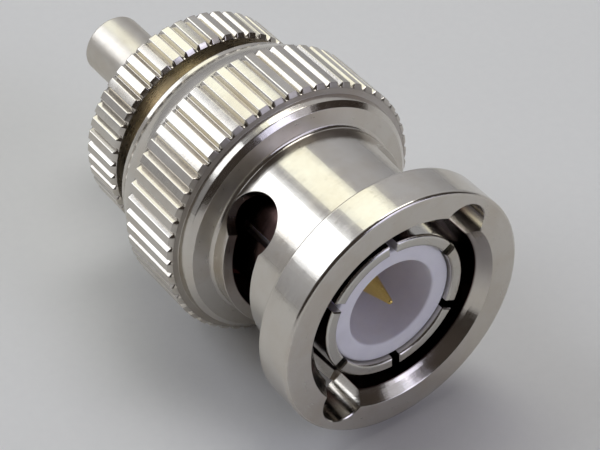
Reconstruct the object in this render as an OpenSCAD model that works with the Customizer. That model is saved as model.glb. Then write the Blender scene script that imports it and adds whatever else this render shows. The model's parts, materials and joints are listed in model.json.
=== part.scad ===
// Bayonet coaxial plug (BNC size) with a crimp stem for thin coaxial cable.
// The plug lies with its axis along X. The mating face looks towards +X and the
// crimp stem towards -X. The origin is the centre of the coupling nut's front face.
// Profiles are drawn as [radius, -station]: a station is a distance behind the
// front face. Clock angles are measured round the axis from straight down.

/* [Coupling nut] */
// Diameter of the front flange
flange_d = 14.1; // [13.4:0.1:14.5]
// Thickness of the front flange
flange_len = 2.3; // [1.8:0.1:2.6]
// Wall of the polished neck, round the bore
neck_wall = 0.6; // [0.5:0.05:0.8]
// Length of the neck, from the flange to the shoulder
neck_len = 6.25; // [5.9:0.05:6.8]
// Length of the stepped shoulder in front of the knurl
shoulder_len = 0.95; // [0.8:0.05:1.4]
// Diameter over the knurl tips
knurl_d = 15; // [14.6:0.1:15.4]
// Length of the knurled band
knurl_len = 4.1; // [3.4:0.1:4.8]
// Number of knurl teeth round the nut
knurl_teeth = 54; // [40:1:64]
// Depth of the knurl grooves
knurl_depth = 0.25; // [0.2:0.05:0.4]
// Length of the swaged skirt behind the knurl
skirt_len = 2; // [1.6:0.1:2.6]
// Share of the wall that the skirt's sweep leaves at its rear edge
skirt_share = 0.45; // [0.3:0.05:0.8]
// Room between the fingers and the nut's bore, for the jack's sleeve
jack_room = 0.78; // [0.72:0.02:0.88]
// How much wider than the bore the mouth of the tapered lead-in is, on the radius
mouth_flare = 0.6; // [0.4:0.05:0.75]

/* [Bayonet tracks] */
// Width of the tracks for the jack's studs
track_w = 2.35; // [2.2:0.05:2.6]
// Diameter of the two entry notches in the flange
notch_d = 2.76; // [2.5:0.05:3]
// Diameter of the round detent holes
detent_d = 3.3; // [3:0.05:3.5]
// How far behind the front face the detent holes lie
detent_station = 6.68; // [6.4:0.02:6.8]
// Turn from an entry notch to its detent hole
lock_turn = 85.6; // [80:0.2:90]
// How far a track climbs back while the nut is turned
cam_rise = 0.45; // [0.2:0.05:0.6]
// Clock angle of the first entry notch
notch_clock = 138.5; // [0:0.5:180]

/* [Contacts] */
// Outside diameter of the sprung fingers
finger_d = 8.34; // [8.1:0.02:8.5]
// Wall of the finger tube
finger_wall = 0.64; // [0.5:0.02:0.7]
// Number of fingers
fingers = 6; // [4:1:8]
// Width of the saw cuts between the fingers
finger_gap = 0.45; // [0.3:0.05:0.6]
// Clock angle of the first saw cut
finger_clock = 3; // [0:1:59]
// How far the finger tips lie behind the front face
finger_station = 0.67; // [0.5:0.01:1]
// Centre pin diameter
pin_d = 1.35; // [1.32:0.01:1.37]
// How far the pin's tip lies behind the front face
pin_station = 1; // [0.8:0.05:1.4]

/* [Insulators] */
// How far the front insulator's face lies behind the front face
insulator_station = 0.98; // [0.9:0.02:1.3]
// Round recess in the front insulator, for the jack's centre contact
recess_d = 5; // [4.9:0.05:5.2]
// Depth of that recess
recess_depth = 7.5; // [6.5:0.1:8]

/* [Plug body] */
// Room in front of the nut's rear lip for the body's flange, the spring and the washers
stack_len = 2.85; // [2.7:0.05:3.1]
// Diameter of the body behind the flange
hub_d = 9.2; // [9.1:0.1:9.4]

/* [Rear shell] */
// Gap between the nut at rest and the grip disc
disc_gap = 1.28; // [1.1:0.02:2]
// Diameter over the grip disc's knurl
disc_d = 12.4; // [12:0.05:13]
// Thickness of the grip disc
disc_len = 2.8; // [2.4:0.1:3.4]
// Number of knurl teeth round the disc
disc_teeth = 48; // [36:1:56]
// Diameter of the crimp stem
stem_d = 3.53; // [3.4:0.01:3.9]
// Length of the crimp stem
stem_len = 7.2; // [6:0.1:9]
// Bore of the crimp stem, for the cable's core
cable_bore_d = 3.06; // [2.9:0.02:3.1]

/* [Hidden] */
$fn = 96;
eps = 0.05;               // how far a cutter passes the face that it opens

// Clearances
slide_gap = 0.05;         // radial running gap of the pieces that guide the nut
seat_gap = 0.04;          // axial gap between the nut and the body's flange at rest
edge = 0.12;              // small edge break

// Nut stations
shoulder_station = flange_len + neck_len;
knurl_station = shoulder_station + shoulder_len;
skirt_station = knurl_station + knurl_len;
nut_len = skirt_station + skirt_len;
finger_r = finger_d / 2;
bore_r = finger_r + jack_room;
neck_r = bore_r + neck_wall;
mouth_r = bore_r + mouth_flare;
knurl_root_r = knurl_d / 2 - knurl_depth;
under_knurl = 0.05;       // the turned blank stays this far inside the knurl's roots
blank_r = knurl_root_r - under_knurl;
fillet_r = 0.2;
mouth_len = 0.47;         // tapered lead-in
mouth_end_r = bore_r + 0.2;
shoulder_rise = 0.2;      // the shoulder's inner face leans back by this much
rim_share = 0.565;        // share of the shoulder's height that its inner face takes
rim_edge = 0.05;
lip_len = 0.75;           // swaged lip that closes the chamber
lip_station = nut_len - lip_len;
seat_station = lip_station - stack_len;
chamber_r = hub_d / 2 + 1.25; // room for the spring and its washers round the hub
chamber_station = seat_station - seat_gap;

// Bayonet tracks
notch_wall = 0.54;        // wall left outside the notches
notch_r = flange_d / 2 - notch_wall - notch_d / 2; // the notches' centres
track_slant = 9;          // the entry leg leans this way, in degrees
corner_station = detent_station - cam_rise - 0.05;
corner_arc = tan(track_slant) * (corner_station - flange_len);
corner_turn = corner_arc / neck_r * 180 / PI;
cam_end_station = detent_station - 0.14;
cam_inner_r = bore_r - 0.4;
cam_outer_r = neck_r + 0.4;
cam_span = lock_turn - corner_turn;
cam_tilt = atan((cam_end_station - corner_station) / (2 * neck_r * sin(cam_span / 2)));
corner_relief = 0.1;      // the drilled corner is this much wider than the legs

// Plug body and what it holds
contact_in_r = finger_r - finger_wall;
gasket_len = 1.1;
gasket_r = bore_r - 0.12;
contact_root_r = finger_r + 0.3 * (gasket_r - finger_r);
contact_root_station = seat_station - 1.6;
contact_seat_r = hub_d / 2 - 0.232;    // where the contact is held in the body
// From here on the contact is 0.02 mm smaller in radius. The real one isn't known to have this step.
relief_station = 8;
relief_r = finger_r - 0.02;
contact_end_station = seat_station + 2;
saw_end_station = 8.3;
body_flange_len = 0.9;
body_flange_r = chamber_r - slide_gap - 0.05;
insulator_r = contact_in_r - 0.03;
collar_r = insulator_r + 0.25;         // the insulators' shared collar
web_station = insulator_station + recess_depth;
split_station = seat_station + 0.8;    // where the two insulators meet
disc_station = nut_len + disc_gap;
spigot_r = insulator_r + 0.45 * (hub_d / 2 - insulator_r);
spigot_end_station = disc_station + 1.62;

// Centre pin
pin_r = pin_d / 2;
pin_tip_r = 0.14;
pin_cone_len = 2.4;
pin_root_r = pin_r + 0.2;
pin_collar_r = 1.2;
pin_collar_len = 0.7;
pot_r = 1;                // solder pot behind the collar
pot_end_station = spigot_end_station - 0.9;
pot_bore_r = 0.5;
pot_bore_depth = 3.2;

// Spring stack between the body's flange and the nut's lip
washer_t = 0.3;
washer_in_r = hub_d / 2 + slide_gap;
washer_out_r = chamber_r - slide_gap;
spring_t = 0.2;
spring_waves = 3;
spring_steps = 72;
spring_in_r = washer_in_r + 0.1;
spring_out_r = washer_out_r - 0.1;
thrust_station = seat_station + body_flange_len;
lip_washer_station = lip_station - washer_t;
spring_front = thrust_station + washer_t;
spring_height = lip_washer_station - spring_front;

// Rear shell
disc_root_r = disc_d / 2 - knurl_depth;
disc_blank_r = disc_root_r - under_knurl;
disc_end_station = disc_station + disc_len;
shell_len = disc_end_station + stem_len;
disc_chamfer = 0.2;       // plain chamfer behind the disc's knurl

nickel = [0.80, 0.78, 0.74];
bright_nickel = [0.86, 0.84, 0.80];
gold = [0.85, 0.65, 0.25];
ptfe = [0.92, 0.92, 0.95];
silicone = [0.40, 0.08, 0.07];
bronze = [0.70, 0.50, 0.30];

// A point of a turned profile
function at(r, station) = [r, -station];

// Points of a round corner: centre, radius and the two angles between which it runs
function corner(c, r, a0, a1, n = 8) = [for (i = [0 : n]) let (a = a0 + (a1 - a0) * i / n)
    c + r * [cos(a), sin(a)]];

// Lays a shape that is turned about Z along the plug's axis; clock 0 is straight down
module lay() { rotate([0, 90, 0]) children(); }

// A piece turned to a profile of [radius, -station] points
module turned(profile) { rotate_extrude() polygon(profile); }

// A plain tube between two stations
module tube(r_out, r_in, from, to) {
    turned([at(r_in, from), at(r_out, from), at(r_out, to), at(r_in, to)]);
}

// A band of straight teeth with flat tips and V-shaped grooves between two stations
module knurl(tip_r, root_r, teeth, from, to) {
    pitch = 360 / teeth;
    tip_half = pitch * 0.27;
    outline = [for (i = [0 : teeth - 1]) each [
        tip_r * [cos(i * pitch - tip_half), sin(i * pitch - tip_half)],
        tip_r * [cos(i * pitch + tip_half), sin(i * pitch + tip_half)],
        root_r * [cos((i + 0.5) * pitch), sin((i + 0.5) * pitch)]]];
    translate([0, 0, -to]) linear_extrude(to - from) polygon(outline);
}

// Outer shape of the nut without its knurl teeth
module nut_blank() {
    flange_r = flange_d / 2;
    skirt_end_r = chamber_r + skirt_share * (blank_r - chamber_r);
    sweep_in = 1.02;      // the skirt's sweep is centred this far inside its rear edge
    sweep_r = sweep_in + blank_r - skirt_end_r;
    shoulder_in_r = neck_r + fillet_r;
    rim_station = shoulder_station + shoulder_rise;
    turned(concat(
        [at(0, 0), at(flange_r - edge, 0), at(flange_r, edge), at(flange_r, flange_len - edge),
         at(flange_r - edge, flange_len), at(neck_r, flange_len)],
        corner(at(shoulder_in_r, shoulder_station - fillet_r), fillet_r, 180, 270),
        [at(shoulder_in_r + rim_share * (blank_r - shoulder_in_r), rim_station),
         at(blank_r - rim_edge, rim_station), at(blank_r, rim_station + rim_edge)],
        // the swaged skirt: a straight start, then a sweep down to its rear edge
        corner(at(skirt_end_r - sweep_in, skirt_station + 0.25), sweep_r, 0, -acos(sweep_in / sweep_r)),
        [at(skirt_end_r, nut_len), at(0, nut_len)]));
}

// Everything that is bored out of the nut
module nut_bore() {
    lip_r = hub_d / 2 + 0.35;
    turned([at(0, -eps), at(mouth_r + eps * 0.8, -eps), at(mouth_end_r, mouth_len),
        at(bore_r, mouth_len + 0.2), at(bore_r, chamber_station), at(chamber_r, chamber_station),
        at(chamber_r, lip_station), at(lip_r, lip_station), at(lip_r, nut_len + eps),
        at(0, nut_len + eps)]);
}

// The climbing leg of a track: a slice of a ring, tipped so that it climbs towards the flange
module cam_leg() {
    rotate((corner_turn + lock_turn) / 2) translate([0, 0, -(corner_station + cam_end_station) / 2])
        rotate([-cam_tilt, 0, 0]) rotate(-cam_span / 2) rotate_extrude(angle = cam_span)
            translate([cam_inner_r, -track_w / 2]) square([cam_outer_r - cam_inner_r, track_w]);
}

// A cutter on a radius of the neck, at a turn from the notch and a station
module radial_drill(d, turn, station) {
    rotate(turn) translate([0, 0, -station]) rotate([0, 90, 0])
        translate([0, 0, cam_inner_r]) cylinder(d = d, h = cam_outer_r - cam_inner_r);
}

// One bayonet track: the notch through the flange, the entry leg, the cam and the detent hole.
// It is drawn for the opposite hand, and the nut mirrors it to lock clockwise.
module bayonet_track() {
    translate([notch_r, 0, -flange_len - eps]) cylinder(d = notch_d, h = flange_len + 2 * eps);
    leg_len = (corner_station - flange_len) / cos(track_slant);
    translate([cam_inner_r, 0, -flange_len]) rotate([-track_slant, 0, 0])
        translate([0, -track_w / 2, -leg_len]) cube([cam_outer_r - cam_inner_r, track_w, leg_len + eps]);
    radial_drill(track_w + corner_relief, corner_turn, corner_station);
    cam_leg();
    radial_drill(detent_d, lock_turn, detent_station);
}

module coupling_nut() {
    color(nickel) lay() difference() {
        union() {
            nut_blank();
            rotate(5.3) knurl(knurl_d / 2, knurl_root_r, knurl_teeth, knurl_station, skirt_station);
        }
        nut_bore();
        for (half_turn = [0, 180]) rotate(notch_clock + half_turn) mirror([0, 1, 0]) bayonet_track();
    }
}

module plug_body() {
    hub_r = hub_d / 2;
    color(nickel) lay() turned([at(contact_seat_r, seat_station), at(body_flange_r - edge, seat_station),
        at(body_flange_r, seat_station + edge), at(body_flange_r, thrust_station),
        at(hub_r, thrust_station), at(hub_r, disc_station), at(spigot_r, disc_station),
        at(spigot_r, spigot_end_station), at(insulator_r, spigot_end_station),
        at(insulator_r, contact_end_station), at(contact_seat_r, contact_end_station)]);
}

module rear_shell() {
    stem_r = stem_d / 2;
    color(nickel) lay() difference() {
        union() {
            turned([at(0, disc_station), at(disc_blank_r, disc_station),
                at(disc_blank_r, disc_end_station - disc_chamfer),
                at(disc_blank_r - disc_chamfer, disc_end_station), at(stem_r, disc_end_station),
                at(stem_r, shell_len - edge), at(stem_r - edge, shell_len), at(0, shell_len)]);
            rotate(2.7) knurl(disc_d / 2, disc_root_r, disc_teeth, disc_station,
                disc_end_station - disc_chamfer);
        }
        translate([0, 0, -spigot_end_station])
            cylinder(r = spigot_r, h = spigot_end_station - disc_station + eps);
        translate([0, 0, -shell_len - eps])
            cylinder(d = cable_bore_d, h = shell_len - disc_station);
    }
}

module outer_contact() {
    color(bright_nickel) lay() difference() {
        turned([at(contact_in_r + edge, finger_station), at(finger_r - edge, finger_station),
            at(finger_r, finger_station + edge), at(finger_r, relief_station),
            at(relief_r, relief_station), at(relief_r, contact_root_station),
            at(contact_root_r, contact_root_station), at(contact_root_r, seat_station),
            at(contact_seat_r, seat_station), at(contact_seat_r, contact_end_station),
            at(collar_r, contact_end_station), at(collar_r, seat_station),
            at(contact_in_r, seat_station), at(contact_in_r, finger_station + edge)]);
        for (i = [0 : fingers - 1]) rotate(finger_clock + i * 360 / fingers)
            translate([contact_in_r - 0.5, -finger_gap / 2, -saw_end_station])
                cube([finger_wall + 1, finger_gap, saw_end_station]);
    }
}

module gasket() {
    color(silicone) lay() tube(gasket_r, contact_root_r, seat_station - gasket_len, seat_station);
}

module front_insulator() {
    color(ptfe) lay() turned([at(recess_d / 2 + edge / 2, insulator_station),
        at(insulator_r - edge, insulator_station), at(insulator_r, insulator_station + edge),
        at(insulator_r, seat_station), at(collar_r, seat_station), at(collar_r, split_station),
        at(pin_root_r, split_station), at(pin_root_r, web_station), at(recess_d / 2, web_station),
        at(recess_d / 2, insulator_station + edge / 2)]);
}

module rear_insulator() {
    color(ptfe) lay() turned([at(pin_collar_r, split_station), at(collar_r, split_station),
        at(collar_r, contact_end_station), at(insulator_r, contact_end_station),
        at(insulator_r, spigot_end_station), at(pot_r, spigot_end_station),
        at(pot_r, split_station + pin_collar_len), at(pin_collar_r, split_station + pin_collar_len)]);
}

module centre_pin() {
    tip_centre = pin_station + pin_tip_r;
    color(gold) lay() turned(concat(
        corner(at(0, tip_centre), pin_tip_r, 90, 20, 6),
        [at(pin_r, pin_station + pin_cone_len), at(pin_r, web_station), at(pin_root_r, web_station),
         at(pin_root_r, split_station), at(pin_collar_r, split_station),
         at(pin_collar_r, split_station + pin_collar_len), at(pot_r, split_station + pin_collar_len),
         at(pot_r, pot_end_station), at(pot_bore_r, pot_end_station),
         at(pot_bore_r, pot_end_station - pot_bore_depth), at(0, pot_end_station - pot_bore_depth)]));
}

module thrust_washer() {
    color(nickel) lay() tube(washer_out_r - 0.1, hub_d / 2, thrust_station, thrust_station + washer_t);
}

// A ring that waves between the two washers
module wave_spring() {
    middle = spring_front + spring_height / 2;
    swing = (spring_height - spring_t) / 2;
    function ring(i) = let (a = i * 360 / spring_steps, s = middle + swing * cos(spring_waves * a))
        [for (p = [[spring_in_r, -s - spring_t / 2], [spring_out_r, -s - spring_t / 2],
                   [spring_out_r, -s + spring_t / 2], [spring_in_r, -s + spring_t / 2]])
            [p[0] * cos(a), p[0] * sin(a), p[1]]];
    color(bronze) lay() polyhedron([for (i = [0 : spring_steps - 1]) each ring(i)],
        [for (i = [0 : spring_steps - 1], k = [0 : 3])
            let (a = i * 4 + k, b = i * 4 + (k + 1) % 4, n = spring_steps * 4,
                 c = (a + 4) % n, d = (b + 4) % n) each [[a, c, d], [a, d, b]]], convexity = 6);
}

module lip_washer() {
    color(nickel) lay() tube(washer_out_r, washer_in_r, lip_washer_station, lip_station);
}

coupling_nut();
plug_body();
rear_shell();
outer_contact();
gasket();
front_insulator();
rear_insulator();
centre_pin();
thrust_washer();
wave_spring();
lip_washer();
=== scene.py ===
import bpy
import bmesh
import json
import math
from mathutils import Matrix, Vector

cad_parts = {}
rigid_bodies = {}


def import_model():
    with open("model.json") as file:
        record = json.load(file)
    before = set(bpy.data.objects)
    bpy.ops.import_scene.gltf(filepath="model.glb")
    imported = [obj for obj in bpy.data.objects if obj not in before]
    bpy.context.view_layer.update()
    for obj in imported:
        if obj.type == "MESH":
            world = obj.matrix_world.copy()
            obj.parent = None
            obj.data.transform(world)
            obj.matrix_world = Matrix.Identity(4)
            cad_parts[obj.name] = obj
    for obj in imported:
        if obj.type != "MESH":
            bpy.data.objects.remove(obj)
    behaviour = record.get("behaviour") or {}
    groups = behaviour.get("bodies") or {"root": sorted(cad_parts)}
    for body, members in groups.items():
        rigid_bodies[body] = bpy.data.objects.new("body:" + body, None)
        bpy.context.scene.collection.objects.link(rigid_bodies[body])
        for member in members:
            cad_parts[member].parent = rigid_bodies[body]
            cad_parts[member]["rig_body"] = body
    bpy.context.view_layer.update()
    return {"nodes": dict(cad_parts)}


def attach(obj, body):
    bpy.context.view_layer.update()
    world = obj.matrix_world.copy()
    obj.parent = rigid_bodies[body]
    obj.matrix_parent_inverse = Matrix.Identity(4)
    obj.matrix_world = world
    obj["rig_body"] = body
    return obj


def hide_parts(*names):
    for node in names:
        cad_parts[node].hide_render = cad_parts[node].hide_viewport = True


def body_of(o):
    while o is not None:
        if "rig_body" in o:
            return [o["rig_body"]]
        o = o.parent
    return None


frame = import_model()

MM = 0.001
TAU = 2 * math.pi

# ---------------------------------------------------------------- sizes, in mm
# They are the source's own where it has them, but COLLAR_R and the skirt's sweep in nut_outline differ
# from it, and TOOTH_CHAMFER and the two flares are only here.
FLANGE_R, FLANGE_LEN = 7.05, 2.3
NECK_R, SHOULDER = 5.55, 8.55
SHOULDER_IN_R, CONE_R, CONE_LEN = 5.74, 6.57, 0.2   # the shoulder's shallow cone
KNURL_R, KNURL_DEPTH = 7.5, 0.25
KNURL_FROM, KNURL_TO = 9.5, 13.6
KNURL_TEETH, TOOTH_CHAMFER = 54, 0.18
NUT_LEN, SKIRT_END_R = 15.6, 6.46
KNURL_ROOT = KNURL_R - KNURL_DEPTH
BLANK_R = KNURL_ROOT - 0.05
COLLAR_R, COLLAR_LEAN, COLLAR_FROM = 6.85, 0.08, SHOULDER + 0.45   # narrower than the source's blank
BORE_R, MOUTH_R, MOUTH_LEN = 4.95, 5.55, 0.47
CHAMBER_R, CHAMBER, LIP, LIP_R = 5.85, 11.96, 14.85, 4.95
NOTCH_R, NOTCH_D = 5.13, 2.76
TRACK_W, SLANT = 2.35, math.radians(9)
DETENT_D, DETENT, LOCK_TURN, CAM_RISE = 3.3, 6.68, 85.6, 0.45
NOTCH_CLOCK = 138.5
TRACK_CUT_R = 4.3                     # the tracks' cutters start here, inside the bore
TRACK_FLARE, SAW_FLARE = 0.04, 0.05   # how far the cuts' outer edges are broken
FINGER_R, FINGER_IN, FINGER_TIP = 4.17, 3.53, 0.67
FINGERS, FINGER_GAP, FINGER_CLOCK, SAW_END = 6, 0.45, 3, 8.3
STEP, STEP_FROM = 0.02, 8             # as in the source; the real contact isn't known to have it
PIN_R, PIN_TIP, PIN_TIP_R, PIN_CONE = 0.675, 1.0, 0.14, 2.4
ROOT_RISE, CONTACT_ROOT = 0.2, 10.4   # how far both roots stand out, and where the contact's begins
SEAT, HUB_R = 12.0, 4.6
SPLIT, CONTACT_END = SEAT + 0.8, SEAT + 2
RECESS_R, INSULATOR_FROM, WEB = 2.5, 0.98, 8.48
INSULATOR_R = FINGER_IN - 0.03
PIN_COLLAR_R, PIN_COLLAR_TO = 1.2, SEAT + 1.5
POT_R, POT_BORE_R, POT_FLOOR, POT_END = 1.0, 0.5, 14.4, 17.6   # the pin's solder cup
DISC_FROM, DISC_TO, DISC_R, DISC_TEETH = 16.88, 19.68, 6.2, 48
SPIGOT_R, SPIGOT_END = HUB_R - 0.6, DISC_FROM + 1.62
STEM_R, END, CABLE_R = 1.765, 26.88, 1.53


# ---------------------------------------------------------------- mesh tools
def rounded(points, support=0.05, longest=0.6):
    """A closed outline of (r, s, round) corners with its corners rounded, and with points close to each
    corner and along each side, so that smooth shading stays flat on the flats."""
    out = []
    n = len(points)
    for i, (r, s, rad) in enumerate(points):
        p = Vector((r, s))
        a = Vector(points[i - 1][:2]) - p
        b = Vector(points[(i + 1) % n][:2]) - p
        if rad <= 0 or a.length < 1e-6 or b.length < 1e-6:
            out.append(p)
            continue
        a.normalize()
        b.normalize()
        half = a.angle(b) / 2
        back = rad / math.tan(half)
        centre = p + (a + b).normalized() * (rad / math.sin(half))
        p0, p1 = p + a * back, p + b * back
        v0, v1 = p0 - centre, p1 - centre
        turn = math.atan2(v0.x * v1.y - v0.y * v1.x, v0.dot(v1))
        steps = 3 if abs(turn) > 0.7 else 2
        for k in range(steps + 1):
            t = turn * k / steps
            out.append(centre + Vector((v0.x * math.cos(t) - v0.y * math.sin(t),
                                        v0.x * math.sin(t) + v0.y * math.cos(t))))
    full = []
    n = len(out)
    for i, p in enumerate(out):
        q = out[(i + 1) % n]
        full.append(p)
        length = (q - p).length
        if length > 3.2 * support:
            d = (q - p) / length
            full.append(p + d * support)
            inner = length - 2 * support
            cuts = int(inner // longest) + 1
            full += [p + d * (support + inner * k / cuts) for k in range(1, cuts)]
            full.append(q - d * support)
    return [(p.x, p.y) for p in full]


def new_object(name, bm, sharp=32):
    """A mesh object with smooth faces and sharp edges above that angle."""
    bmesh.ops.recalc_face_normals(bm, faces=bm.faces)
    for f in bm.faces:
        f.smooth = True
    for e in bm.edges:
        e.smooth = not (len(e.link_faces) == 2 and e.calc_face_angle(0) > math.radians(sharp))
    mesh = bpy.data.meshes.new(name)
    bm.to_mesh(mesh)
    bm.free()
    o = bpy.data.objects.new(name, mesh)
    bpy.context.scene.collection.objects.link(o)
    return o


def turn_grid(outline, angles, radius=None):
    """A bmesh of the outline turned about X. radius(r, s, column) may change a radius."""
    bm = bmesh.new()
    rows = []
    for r, s in outline:
        if r < 1e-6:
            v = bm.verts.new((-s * MM, 0, 0))
            rows.append([v] * len(angles))
            continue
        row = []
        for j, a in enumerate(angles):
            rr = r if radius is None else radius(r, s, j)
            row.append(bm.verts.new((-s * MM, rr * MM * math.cos(a), rr * MM * math.sin(a))))
        rows.append(row)
    n = len(rows)
    for i in range(n):
        lower, upper = rows[i], rows[(i + 1) % n]
        for j in range(len(angles)):
            k = (j + 1) % len(angles)
            quad = []
            for v in (lower[j], lower[k], upper[k], upper[j]):
                if v not in quad:
                    quad.append(v)
            if len(quad) > 2:
                bm.faces.new(quad)
    return bm


def even(count, start=0.0):
    return [start + TAU * k / count for k in range(count)]


def loft(rings):
    """A closed bmesh between rings of points, capped at both ends."""
    bm = bmesh.new()
    rows = [[bm.verts.new(Vector(p) * MM) for p in ring] for ring in rings]
    for lower, upper in zip(rows, rows[1:]):
        for j in range(len(lower)):
            k = (j + 1) % len(lower)
            bm.faces.new((lower[j], lower[k], upper[k], upper[j]))
    bm.faces.new(rows[0][::-1])
    bm.faces.new(rows[-1])
    bmesh.ops.recalc_face_normals(bm, faces=bm.faces)
    return bm


def cut(o, cutters, sharp=32):
    """Cuts the cutters, which are bmeshes, out of o and returns the result under its name."""
    for bm in cutters:
        mesh = bpy.data.meshes.new("cutter")
        bm.to_mesh(mesh)
        bm.free()
        c = bpy.data.objects.new("cutter", mesh)
        bpy.context.scene.collection.objects.link(c)
        m = o.modifiers.new("cut", "BOOLEAN")
        m.operation, m.solver, m.object = "DIFFERENCE", "EXACT", c
        bpy.context.view_layer.update()
        done = bpy.data.meshes.new_from_object(o.evaluated_get(bpy.context.evaluated_depsgraph_get()))
        o.modifiers.clear()
        old, o.data = o.data, done
        bpy.data.meshes.remove(old)
        bpy.data.objects.remove(c)
        bpy.data.meshes.remove(mesh)
    bm = bmesh.new()
    bm.from_mesh(o.data)
    bmesh.ops.remove_doubles(bm, verts=bm.verts, dist=2e-7)
    bmesh.ops.dissolve_degenerate(bm, edges=bm.edges, dist=1e-7)
    for f in bm.faces:
        f.smooth = True
    for e in bm.edges:
        e.smooth = not (len(e.link_faces) == 2 and e.calc_face_angle(0) > math.radians(sharp))
    bm.to_mesh(o.data)
    bm.free()
    return o


# Phases of the columns of one knurl tooth: four round each edge of its flat tip, and two in its groove
PHASES = (-0.31, -0.285, -0.255, -0.235, 0.235, 0.255, 0.285, 0.31, 0.485, 0.515)


def tooth_height(p):
    """Height of a tooth over its root, from 0 to 1, at a phase counted in pitches from its middle."""
    p = abs((p + 0.5) % 1 - 0.5)
    if p <= 0.256:
        return 1.0
    if p >= 0.48:
        return 0.03
    return 0.95 - 0.92 * (p - 0.285) / 0.2


def knurl_band(r, start, end):
    """The part of an outline that is knurled. Its rows lie close together at both ends."""
    return [(r, start + d, 0) for d in (0, TOOTH_CHAMFER, TOOTH_CHAMFER + 0.05)] + [
        (r, end - d, 0) for d in (0.14, 0.1, 0.07, 0)]


def knurl_radius(root, start, end, s, height):
    """The radius of a knurled row: the teeth are chamfered in front and rounded at the rear."""
    front, rear = s - start, end - s
    share = min(1.0, 0.05 + front / TOOTH_CHAMFER)
    if rear < 0.12:
        share = 0.1 if rear < 0.03 else 0.75 if rear < 0.085 else 0.92
    return root + KNURL_DEPTH * height * share


def tooth_columns(teeth, clock):
    """Angles of the columns of a knurled piece, and the tooth height of each."""
    angles = [TAU * (k + p) / teeth + math.radians(clock - 90) for k in range(teeth) for p in PHASES]
    return angles, [tooth_height(p) for k in range(teeth) for p in PHASES]


# ---------------------------------------------------------------- coupling nut
def nut_outline():
    sweep_r, steep, steeper = 3.7, math.radians(9), math.radians(38)
    sweep = []
    for k in range(9):
        a = steep + (steeper - steep) * k / 8
        sweep.append((BLANK_R - sweep_r * (math.cos(steep) - math.cos(a)),
                      KNURL_TO + 0.02 + sweep_r * (math.sin(a) - math.sin(steep)), 0))
    front = [
        (MOUTH_R, 0, 0.04), (FLANGE_R, 0, 0.16), (FLANGE_R, FLANGE_LEN, 0.12), (NECK_R, FLANGE_LEN, 0.05),
        (NECK_R, SHOULDER, 0.2), (SHOULDER_IN_R, SHOULDER, 0.03), (CONE_R, SHOULDER + CONE_LEN, 0.03),
        (COLLAR_R, COLLAR_FROM, 0.04), (COLLAR_R + COLLAR_LEAN, KNURL_FROM, 0.03)]
    inside = [
        (SKIRT_END_R, NUT_LEN, 0.08), (LIP_R, NUT_LEN, 0.1), (LIP_R, LIP, 0.04), (CHAMBER_R, LIP, 0.05),
        (CHAMBER_R, CHAMBER, 0.05), (BORE_R, CHAMBER, 0.08), (BORE_R, MOUTH_LEN + 0.2, 0.03),
        (BORE_R + 0.2, MOUTH_LEN, 0.03)]
    knurled = knurl_band(KNURL_ROOT, KNURL_FROM, KNURL_TO)
    return rounded(front + knurled + [(BLANK_R, KNURL_TO, 0)] + sweep + inside)


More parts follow.
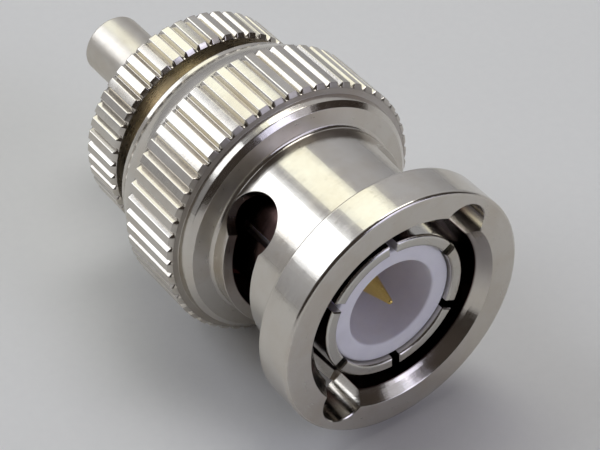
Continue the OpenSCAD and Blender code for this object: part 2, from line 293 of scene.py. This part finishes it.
def make_nut():
    angles, height = tooth_columns(KNURL_TEETH, 5.3)

    def radius(r, s, j):
        if r < KNURL_ROOT - 0.001:
            return r
        return knurl_radius(KNURL_ROOT, KNURL_FROM, KNURL_TO, s, height[j])

    nut = new_object("nut_shell", turn_grid(nut_outline(), angles, radius))
    corner = DETENT - CAM_RISE - 0.05
    corner_u = math.tan(SLANT) * (corner - FLANGE_LEN)
    lock_u = math.radians(LOCK_TURN) * NECK_R
    cutters = []

    def on_neck(u, s, r, start):
        a = math.radians(start) - u / NECK_R
        return (-s, r * math.cos(a), r * math.sin(a))

    def through_neck(chains, start):
        """A cutter through the neck's wall between two chains of points. It widens where it leaves
        the outer face, so that the cut's edge is broken."""
        bm = bmesh.new()
        layers = []
        for r, grow in ((TRACK_CUT_R, 0), (NECK_R - 0.02, 0), (NECK_R + 0.02, TRACK_FLARE),
                        (NECK_R + 0.35, TRACK_FLARE)):
            layers.append([[bm.verts.new(Vector(on_neck(u, s, r, start)) * MM) for u, s in chain]
                           for chain in chains(grow)])
        rings = [front + back[::-1] for front, back in layers]
        for lower, upper in zip(rings, rings[1:]):
            for j in range(len(lower)):
                k = (j + 1) % len(lower)
                bm.faces.new((lower[j], lower[k], upper[k], upper[j]))
        for front, back in (layers[0], layers[-1]):
            for j in range(len(front) - 1):
                bm.faces.new((front[j], front[j + 1], back[j + 1], back[j]))
        bmesh.ops.remove_doubles(bm, verts=bm.verts, dist=1e-8)
        bmesh.ops.recalc_face_normals(bm, faces=bm.faces)
        return bm

    def leg(grow):
        side = (TRACK_W / 2 + grow) / math.cos(SLANT)
        steps = [-side + 2 * side * k / 10 for k in range(11)]
        return [(u, FLANGE_LEN - 0.08) for u in steps], [(corner_u + u, corner) for u in steps]

    def cam(grow):
        w = TRACK_W / 2 + grow
        cap = w + 0.02
        cam_end = DETENT - 0.14
        mid, swing = (corner + cam_end) / 2, (cam_end - corner) / 2
        half = 0.5 * (lock_u - corner_u) / NECK_R
        line = [((corner_u + lock_u) / 2 + t * (lock_u - corner_u) / 2,
                 mid + swing * math.sin(t * half) / math.sin(half))
                for t in (k / 12 - 1 for k in range(25))]
        end = [(corner_u - cap * math.cos(t), cap * math.sin(t))
               for t in (math.pi / 2 * k / 10 for k in range(10))]
        return [[(u, corner + side * h) for u, h in end] + [(u, s + side * w) for u, s in line]
                for side in (-1, 1)]

    def detent(grow):
        w = DETENT_D / 2 + grow
        turns = [math.pi * k / 32 for k in range(33)]
        return [[(lock_u - w * math.cos(t), DETENT + side * w * math.sin(t)) for t in turns]
                for side in (-1, 1)]

    for start in (NOTCH_CLOCK - 90, NOTCH_CLOCK + 90):
        a = math.radians(start)
        y, z = NOTCH_R * math.cos(a), NOTCH_R * math.sin(a)
        rings = []
        for s, r in ((-0.3, NOTCH_D / 2 + 0.35), (0.05, NOTCH_D / 2), (FLANGE_LEN + 0.05, NOTCH_D / 2)):
            rings.append([(-s, y + r * math.cos(b), z + r * math.sin(b)) for b in even(64)])
        cutters.append(loft(rings))
        cutters += [through_neck(chains, start) for chains in (leg, cam, detent)]
    return cut(nut, cutters)


# ---------------------------------------------------------------- rear shell
def make_shell():
    angles, height = tooth_columns(DISC_TEETH, 2.7)
    root = DISC_R - KNURL_DEPTH
    blank = root - 0.05
    knurl_to = DISC_TO - 0.2
    outline = rounded([
        (SPIGOT_R, DISC_FROM, 0.03), (blank, DISC_FROM, 0)] + knurl_band(root, DISC_FROM, knurl_to) + [
        (blank, knurl_to, 0), (blank - 0.2, DISC_TO, 0.03), (STEM_R, DISC_TO, 0.06), (STEM_R, END, 0.12),
        (CABLE_R, END, 0.05), (CABLE_R, SPIGOT_END, 0.02), (SPIGOT_R, SPIGOT_END, 0.02)])

    def radius(r, s, j):
        return r if r < root - 0.001 else knurl_radius(root, DISC_FROM, knurl_to, s, height[j])

    return new_object("shell_with_stem", turn_grid(outline, angles, radius))


def make_contact():
    root_r, seat_in = FINGER_R + ROOT_RISE, FINGER_IN + 0.22
    outline = rounded([
        (FINGER_IN, FINGER_TIP, 0.14), (FINGER_R, FINGER_TIP, 0.16), (FINGER_R, STEP_FROM, 0),
        (FINGER_R - STEP, STEP_FROM + 0.01, 0), (FINGER_R - STEP, CONTACT_ROOT, 0),
        (root_r, CONTACT_ROOT + 0.01, 0), (root_r, CONTACT_END, 0), (seat_in, CONTACT_END, 0),
        (seat_in, SEAT, 0), (FINGER_IN, SEAT, 0)])
    o = new_object("sprung_fingers", turn_grid(outline, even(288)))
    cutters = []
    for k in range(FINGERS):
        a = math.radians(FINGER_CLOCK - 90 + 360 * k / FINGERS)
        radial = Vector((0, math.cos(a), math.sin(a)))
        across = Vector((0, -math.sin(a), math.cos(a)))

        def ring(r, corners):
            return [tuple(radial * r + across * y + Vector((-s, 0, 0))) for s, y in corners]

        rings = []
        for r, grow in ((FINGER_IN - 0.4, 0), (FINGER_R - 0.02, 0), (FINGER_R + 0.06, SAW_FLARE),
                        (FINGER_R + 0.3, SAW_FLARE)):
            w, end = FINGER_GAP / 2 + grow, SAW_END + grow
            rings.append(ring(r, ((0.2, -w), (end, -w), (end, w), (0.2, w))))
        cutters.append(loft(rings))
        # a small chamfer on each finger's front corners
        w, before, behind = FINGER_GAP / 2, FINGER_TIP - 0.1, FINGER_TIP + 0.1
        corners = ((before, -w - 0.17), (behind, -w + 0.03), (behind, w - 0.03), (before, w + 0.17))
        cutters.append(loft([ring(r, corners) for r in (FINGER_IN - 0.3, FINGER_R + 0.3)]))
    return cut(o, cutters)


def make_front_insulator():
    r, collar_r, pin_root_r = INSULATOR_R, INSULATOR_R + 0.25, PIN_R + ROOT_RISE
    return new_object("white_insulator", turn_grid(rounded([
        (RECESS_R, INSULATOR_FROM, 0.09), (r, INSULATOR_FROM, 0.12), (r, SEAT, 0), (collar_r, SEAT, 0),
        (collar_r, SPLIT, 0), (pin_root_r, SPLIT, 0), (pin_root_r, WEB, 0.02), (RECESS_R, WEB, 0.25)]),
        even(256)))


def make_pin():
    root_r = PIN_R + ROOT_RISE
    tip = [(PIN_TIP_R * math.cos(a), PIN_TIP + PIN_TIP_R - PIN_TIP_R * math.sin(a), 0) for a in
           (math.radians(90 - 70 * k / 6) for k in range(1, 7))]
    return new_object("gold_pin", turn_grid(rounded([(0, PIN_TIP, 0)] + tip + [
        (PIN_R, PIN_TIP + PIN_CONE, 0.3), (PIN_R, WEB, 0), (root_r, WEB + 0.01, 0), (root_r, SPLIT, 0),
        (PIN_COLLAR_R, SPLIT, 0), (PIN_COLLAR_R, PIN_COLLAR_TO, 0), (POT_R, PIN_COLLAR_TO, 0),
        (POT_R, POT_END, 0), (POT_BORE_R, POT_END, 0), (POT_BORE_R, POT_FLOOR, 0), (0, POT_FLOOR, 0)]),
        even(96)))


def make_body():
    contact_r, flange_r, flange_to = FINGER_R + ROOT_RISE, CHAMBER_R - 0.1, SEAT + 0.9
    return new_object("body_hub", turn_grid(rounded([
        (contact_r, SEAT, 0), (flange_r, SEAT, 0.08), (flange_r, flange_to, 0.03), (HUB_R, flange_to, 0.05),
        (HUB_R, DISC_FROM, 0), (SPIGOT_R, DISC_FROM, 0), (SPIGOT_R, SPIGOT_END, 0),
        (INSULATOR_R, SPIGOT_END, 0), (INSULATOR_R, CONTACT_END, 0), (contact_r, CONTACT_END, 0)]),
        even(256)))


# ---------------------------------------------------------------- materials
class Nodes:
    """A short way to write a node material."""

    def __init__(self, name):
        self.mat = bpy.data.materials.new(name)
        self.mat.use_nodes = True
        self.tree = self.mat.node_tree
        self.tree.nodes.clear()
        self.out = self.add("ShaderNodeOutputMaterial")
        self.bsdf = self.add("ShaderNodeBsdfPrincipled")
        self.link(self.bsdf.outputs[0], self.out.inputs[0])
        self.coord = self.add("ShaderNodeTexCoord")

    def add(self, kind, **values):
        n = self.tree.nodes.new(kind)
        for k, v in values.items():
            setattr(n, k, v)
        return n

    def link(self, a, b):
        self.tree.links.new(a, b)

    def put(self, target, value):
        if isinstance(value, bpy.types.NodeSocket):
            self.link(value, target)
        else:
            target.default_value = value

    def math(self, operation, a, b=0.0, c=0.0):
        n = self.add("ShaderNodeMath", operation=operation)
        for socket, v in zip(n.inputs, (a, b, c)):
            self.put(socket, v)
        return n.outputs[0]

    def ramp(self, value, *stops):
        n = self.add("ShaderNodeValToRGB")
        e = n.color_ramp.elements
        while len(e) < len(stops):
            e.new(0.5)
        for el, (pos, colour) in zip(e, stops):
            el.position = pos
            el.color = (colour, colour, colour, 1) if isinstance(colour, float) else (*colour, 1)
        self.put(n.inputs[0], value)
        return n.outputs[0]

    def spread(self, value, a, b, c, d):
        """value moved from the range a..b to c..d, clamped."""
        n = self.add("ShaderNodeMapRange")
        for socket, v in zip(n.inputs[:5], (value, a, b, c, d)):
            self.put(socket, v)
        return n.outputs[0]

    def mix(self, share, a, b):
        n = self.add("ShaderNodeMix", data_type="RGBA")
        self.put(n.inputs[0], share)
        self.put(n.inputs[6], a if isinstance(a, bpy.types.NodeSocket) else (*a, 1))
        self.put(n.inputs[7], b if isinstance(b, bpy.types.NodeSocket) else (*b, 1))
        return n.outputs[2]

    def noise(self, vector, scale, detail=2.0, rough=0.5):
        n = self.add("ShaderNodeTexNoise")
        self.link(vector, n.inputs["Vector"])
        n.inputs["Scale"].default_value = scale
        n.inputs["Detail"].default_value = detail
        n.inputs["Roughness"].default_value = rough
        return n.outputs[0]

    def xyz(self, x, y, z):
        n = self.add("ShaderNodeCombineXYZ")
        for socket, v in zip(n.inputs, (x, y, z)):
            self.put(socket, v)
        return n.outputs[0]

    def bump(self, height, distance, strength=1.0, normal=None):
        n = self.add("ShaderNodeBump")
        n.inputs["Strength"].default_value = strength
        n.inputs["Distance"].default_value = distance
        self.link(height, n.inputs["Height"])
        if normal is not None:
            self.link(normal, n.inputs["Normal"])
        return n.outputs[0]

    def round_axis(self):
        """Position along the axis, radius and angle round it, in metres and radians."""
        p = self.add("ShaderNodeSeparateXYZ")
        self.link(self.coord.outputs["Object"], p.inputs[0])
        x, y, z = p.outputs
        r = self.math("SQRT", self.math("ADD", self.math("MULTIPLY", y, y), self.math("MULTIPLY", z, z)))
        return x, r, self.math("ARCTAN2", z, y)

    def forward(self):
        """How far a face looks towards the mouth, from -1 to 1."""
        n = self.add("ShaderNodeSeparateXYZ")
        self.link(self.coord.outputs["Normal"], n.inputs[0])
        return n.outputs[0]


def plated(name, colour, dark, rough, marks=1.0, face_rough=None, root=None, painted_shade=None, satin=None,
           milled=None):
    """Turned and plated metal: rings left by the tool, plating grain, faint stains and fine scratches.
    face_rough is added on faces that look forward. root is the range of radii, in mm, over which a
    knurl's grooves darken. The function given for recesses, called with (m, x, r), is the share of painted
    shade: a dark colour standing in for the shade inside recesses. Inside the radius satin, and on faces
    that look forward behind the station milled, the metal is rougher."""
    m = Nodes(name)
    obj = m.coord.outputs["Object"]
    x, r, turn = m.round_axis()
    along = m.math("ADD", x, r)
    rings = m.noise(m.xyz(along, m.math("MULTIPLY", turn, 0.0002), 0.0), 9000, 3.0, 0.65)
    fine = m.noise(m.xyz(along, m.math("MULTIPLY", turn, 0.0006), 0.01), 26000, 2.0, 0.6)
    grain = m.noise(obj, 11000, 2.0, 0.6)
    stain = m.noise(obj, 420, 4.0, 0.6)
    patch = m.noise(obj, 1500, 3.0, 0.55)
    scratch = m.noise(m.xyz(m.math("MULTIPLY", along, 6.0), m.math("MULTIPLY", turn, 0.02), x),
                      900, 3.0, 0.7)
    stained = tuple(c * k for c, k in zip(colour, (0.93, 0.90, 0.86)))
    tint = m.mix(m.spread(stain, 0.42, 0.68, 0.0, 1.0), colour, stained)
    tint = m.mix(m.spread(scratch, 0.62, 0.78, 0.0, 0.35), tint, dark)
    if root is not None:
        low, high = root
        groove = m.math("MULTIPLY", m.spread(r, low * MM, high * MM, 0.4, 0.0),
                        m.spread(r, (low - 0.05) * MM, (low - 0.02) * MM, 0.0, 1.0))
        tint = m.mix(groove, tint, dark)
    # painted shade: the dark recess colour is mixed into the base colour to stand in for the shade inside
    # recesses
    if painted_shade is not None:
        tint = m.mix(painted_shade(m, x, r), tint, PAINTED_RECESS_SHADE)
    m.link(tint, m.bsdf.inputs["Base Color"])
    m.bsdf.inputs["Metallic"].default_value = 1.0
    value = m.math("ADD", m.spread(rings, 0.3, 0.7, rough * 0.75, rough * 1.25),
                   m.spread(patch, 0.35, 0.7, -0.02, 0.05))
    if face_rough is not None:
        value = m.math("ADD", value, m.spread(m.forward(), 0.85, 0.97, 0.0, face_rough))
    if milled is not None:
        behind = m.spread(x, -milled * MM, -(milled + 0.05) * MM, 0.0, 1.0)
        value = m.math("ADD", value, m.math("MULTIPLY", behind, m.spread(m.forward(), 0.5, 0.65, 0.0, 0.3)))
    if satin is not None:
        value = m.math("ADD", value, m.spread(r, satin * MM, (satin + 0.1) * MM, 0.2, 0.0))
    m.link(value, m.bsdf.inputs["Roughness"])
    b = m.bump(rings, 0.000004 * marks, 0.6)
    b = m.bump(fine, 0.0000015 * marks, 0.5, b)
    b = m.bump(grain, 0.0000012, 0.45, b)
    m.link(b, m.bsdf.inputs["Normal"])
    return m.mat


def ptfe(name, colour):
    m = Nodes(name)
    obj = m.coord.outputs["Object"]
    x, r, turn = m.round_axis()
    rings = m.noise(m.xyz(m.math("ADD", x, r), m.math("MULTIPLY", turn, 0.0001), 0.0), 7000, 2.0, 0.5)
    cloud = m.noise(obj, 900, 3.0, 0.5)
    speck = m.noise(obj, 6000, 2.0, 0.6)
    tint = m.mix(m.spread(cloud, 0.35, 0.7, 0.0, 1.0), colour, tuple(c * 0.94 for c in colour))
    tint = m.mix(m.spread(speck, 0.7, 0.8, 0.0, 0.3), tint, (0.55, 0.53, 0.52))
    m.link(tint, m.bsdf.inputs["Base Color"])
    m.link(m.spread(rings, 0.3, 0.7, 0.38, 0.5), m.bsdf.inputs["Roughness"])
    m.bsdf.inputs["Subsurface Weight"].default_value = 0.5
    m.bsdf.inputs["Subsurface Radius"].default_value = (0.9, 0.9, 1.0)
    m.bsdf.inputs["Subsurface Scale"].default_value = 0.0008
    m.bsdf.inputs["IOR"].default_value = 1.35
    m.link(m.bump(speck, 0.000004, 0.3, m.bump(rings, 0.000006, 0.5)), m.bsdf.inputs["Normal"])
    return m.mat


def rubber(name, colour):
    m = Nodes(name)
    obj = m.coord.outputs["Object"]
    dust = m.noise(obj, 2500, 4.0, 0.6)
    colour = m.mix(m.spread(dust, 0.5, 0.75, 0.0, 0.5), colour, (0.42, 0.24, 0.22))
    m.link(colour, m.bsdf.inputs["Base Color"])
    m.link(m.spread(dust, 0.3, 0.7, 0.4, 0.62), m.bsdf.inputs["Roughness"])
    m.link(m.bump(dust, 0.00001, 0.4), m.bsdf.inputs["Normal"])
    return m.mat


def floor_material():
    m = Nodes("pale_floor")
    obj = m.coord.outputs["Object"]
    soft = m.noise(obj, 30, 3.0, 0.5)
    fine = m.noise(obj, 1800, 3.0, 0.6)
    tint = m.mix(m.spread(soft, 0.3, 0.7, 0.0, 1.0), (0.785, 0.778, 0.768), (0.805, 0.798, 0.788))
    m.link(m.mix(m.spread(fine, 0.3, 0.7, 0.0, 0.06), tint, (0.55, 0.55, 0.57)), m.bsdf.inputs["Base Color"])
    m.bsdf.inputs["Roughness"].default_value = 0.75
    m.bsdf.inputs["Specular IOR Level"].default_value = 0.2
    m.link(m.bump(fine, 0.00001, 0.3), m.bsdf.inputs["Normal"])
    return m.mat


# painted shade: the whole inside of the nut, within the bore's radius, takes the dark recess colour in place
# of the shade in its bore
def painted_shade_in_bore(m, x, r):
    return m.spread(r, 4.96 * MM, 5.02 * MM, 1.0, 0.0)


# painted shade: the fingers' outsides are darkened from 1.4 to 3 mm behind the mouth onwards, where they sit
# in the nut's bore and shade falls
def painted_shade_on_fingers(m, x, r):
    return m.math("MULTIPLY", m.spread(x, -3.0 * MM, -1.4 * MM, 1.0, 0.0),
                  m.spread(r, 3.6 * MM, 3.8 * MM, 0.0, 1.0))


NICKEL, NICKEL_DARK = (0.635, 0.60, 0.545), (0.38, 0.34, 0.29)
# the dark colour of the painted shade inside the nut and on the fingers
PAINTED_RECESS_SHADE = (0.09, 0.055, 0.05)
nut_metal = plated("polished_nickel", NICKEL, NICKEL_DARK, 0.15, face_rough=0.16, root=(7.26, 7.4),
                   painted_shade=painted_shade_in_bore, milled=KNURL_FROM - 0.1)
shell_metal = plated("knurled_nickel", NICKEL, NICKEL_DARK, 0.17, 0.8, face_rough=0.1, root=(5.96, 6.1),
                     satin=STEM_R + 0.1)
finger_metal = plated("finger_nickel", (0.60, 0.58, 0.535), NICKEL_DARK, 0.2, 0.8, face_rough=0.1,
                      painted_shade=painted_shade_on_fingers)
hub_metal = plated("brassy_nickel", (0.66, 0.56, 0.38), (0.35, 0.24, 0.12), 0.22)
gold_metal = plated("gold_plate", (0.84, 0.63, 0.20), (0.48, 0.30, 0.08), 0.2, 0.6)
spring_metal = plated("spring_bronze", (0.72, 0.46, 0.24), (0.40, 0.22, 0.10), 0.25, 0.6)
white_ptfe = ptfe("white_ptfe", (0.93, 0.905, 0.99))
red_silicone = rubber("red_silicone", (0.22, 0.03, 0.03))


for make, node, material, slot in (
        (make_nut, "coupling_nut", nut_metal, "nut_nickel"),
        (make_shell, "rear_shell", shell_metal, "body_nickel"),
        (make_contact, "outer_contact", finger_metal, "contact_nickel"),
        (make_front_insulator, "front_insulator", white_ptfe, "ptfe"),
        (make_pin, "centre_pin", gold_metal, "gold"),
        (make_body, "plug_body", hub_metal, "body_nickel")):
    o = make()
    o.data.materials.clear()
    o.data.materials.append(material)
    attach(o, body_of(frame["nodes"][node])[0])
    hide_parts(node)

for node, material in (
        ("gasket", red_silicone), ("rear_insulator", white_ptfe), ("thrust_washer", hub_metal),
        ("wave_spring", spring_metal), ("lip_washer", hub_metal)):
    for cad_slot in frame["nodes"][node].material_slots:
        cad_slot.material = material

# ---------------------------------------------------------------- floor, light and camera
bm = bmesh.new()
bmesh.ops.create_grid(bm, x_segments=1, y_segments=1, size=3.0)
floor = new_object("floor", bm)
floor.location = (0, 0, -KNURL_R * MM)
floor.data.materials.append(floor_material())

world = bpy.data.worlds.new("studio")
bpy.context.scene.world = world
world.use_nodes = True
# the studio is pale behind the plug, dark on the side that its mouth faces, and brighter overhead
tree = world.node_tree
direction = tree.nodes.new("ShaderNodeTexCoord")
toward = tree.nodes.new("ShaderNodeVectorMath")
toward.operation = "DOT_PRODUCT"
toward.inputs[1].default_value = (0.96, -0.2, 0.2)
near = tree.nodes.new("ShaderNodeMapRange")
near.interpolation_type = "SMOOTHSTEP"
near.inputs["From Min"].default_value = -0.35
near.inputs["From Max"].default_value = 0.1
tone = tree.nodes.new("ShaderNodeMix")
tone.data_type = "RGBA"
tone.inputs[6].default_value = (0.53, 0.54, 0.575, 1)
tone.inputs[7].default_value = (0.052, 0.043, 0.038, 1)
tree.links.new(direction.outputs["Generated"], toward.inputs[0])
tree.links.new(toward.outputs["Value"], near.inputs["Value"])
tree.links.new(near.outputs[0], tone.inputs[0])
height = tree.nodes.new("ShaderNodeSeparateXYZ")
level = tree.nodes.new("ShaderNodeMapRange")
level.interpolation_type = "SMOOTHSTEP"
level.inputs["From Max"].default_value = 0.6
level.inputs["To Min"].default_value = 0.72
level.inputs["To Max"].default_value = 1.06
tree.links.new(direction.outputs["Generated"], height.inputs[0])
tree.links.new(height.outputs[2], level.inputs["Value"])
tree.links.new(level.outputs[0], tree.nodes["Background"].inputs[1])
tree.links.new(tone.outputs[2], tree.nodes["Background"].inputs[0])


def softbox(name, azimuth, elevation, distance, wide, high, colour, power):
    """An area lamp that looks at the object. Azimuth is measured from +X towards +Y."""
    lamp = bpy.data.lights.new(name, "AREA")
    lamp.shape, lamp.size, lamp.size_y = "RECTANGLE", wide, high
    lamp.color, lamp.energy = colour, power
    o = bpy.data.objects.new(name, lamp)
    a, e = math.radians(azimuth), math.radians(elevation)
    d = Vector((math.cos(a) * math.cos(e), math.sin(a) * math.cos(e), math.sin(e)))
    centre = Vector((-0.008, 0, 0))
    o.location = centre + d * distance
    # the lamp's height, size_y, lies in one plane with the plug's axis
    z = d
    x = z.cross(Vector((1, 0, 0))).normalized()
    y = z.cross(x)
    o.rotation_mode = "QUATERNION"
    o.rotation_quaternion = Matrix((x, y, z)).transposed().to_quaternion()
    bpy.context.scene.collection.objects.link(o)


softbox("warm_window", 168, 50.5, 0.6, 0.27, 0.5, (0.97, 1.0, 0.80), 0.47)
softbox("white_window", -143, 37, 0.6, 0.34, 0.5, (0.88, 0.93, 1.0), 1.1)
softbox("blue_sky", 34, 40, 0.6, 0.25, 0.25, (0.86, 0.88, 1.0), 0.14)
softbox("low_sky", 25, 9, 0.6, 0.9, 0.25, (0.74, 0.76, 1.0), 1.3)
softbox("overhead", 115, 68, 0.6, 0.3, 0.3, (1.0, 1.0, 1.0), 0.7)

camera = bpy.data.cameras.new("camera")
camera.lens, camera.sensor_width = 137.1, 36
camera.clip_start, camera.clip_end = 0.005, 20
eye = bpy.data.objects.new("camera", camera)
right, down = Vector((0.5782, 0.8158, 0)), Vector((0.5402, -0.3828, -0.7494))
ahead = Vector((-0.6114, 0.4333, -0.6621))
eye.rotation_mode = "QUATERNION"
eye.rotation_quaternion = Matrix((right, -down, -ahead)).transposed().to_quaternion()
eye.location = (0.06284, -0.05074, 0.07705)
bpy.context.scene.collection.objects.link(eye)
bpy.context.scene.camera = eye
bpy.context.scene.view_settings.view_transform = "Standard"
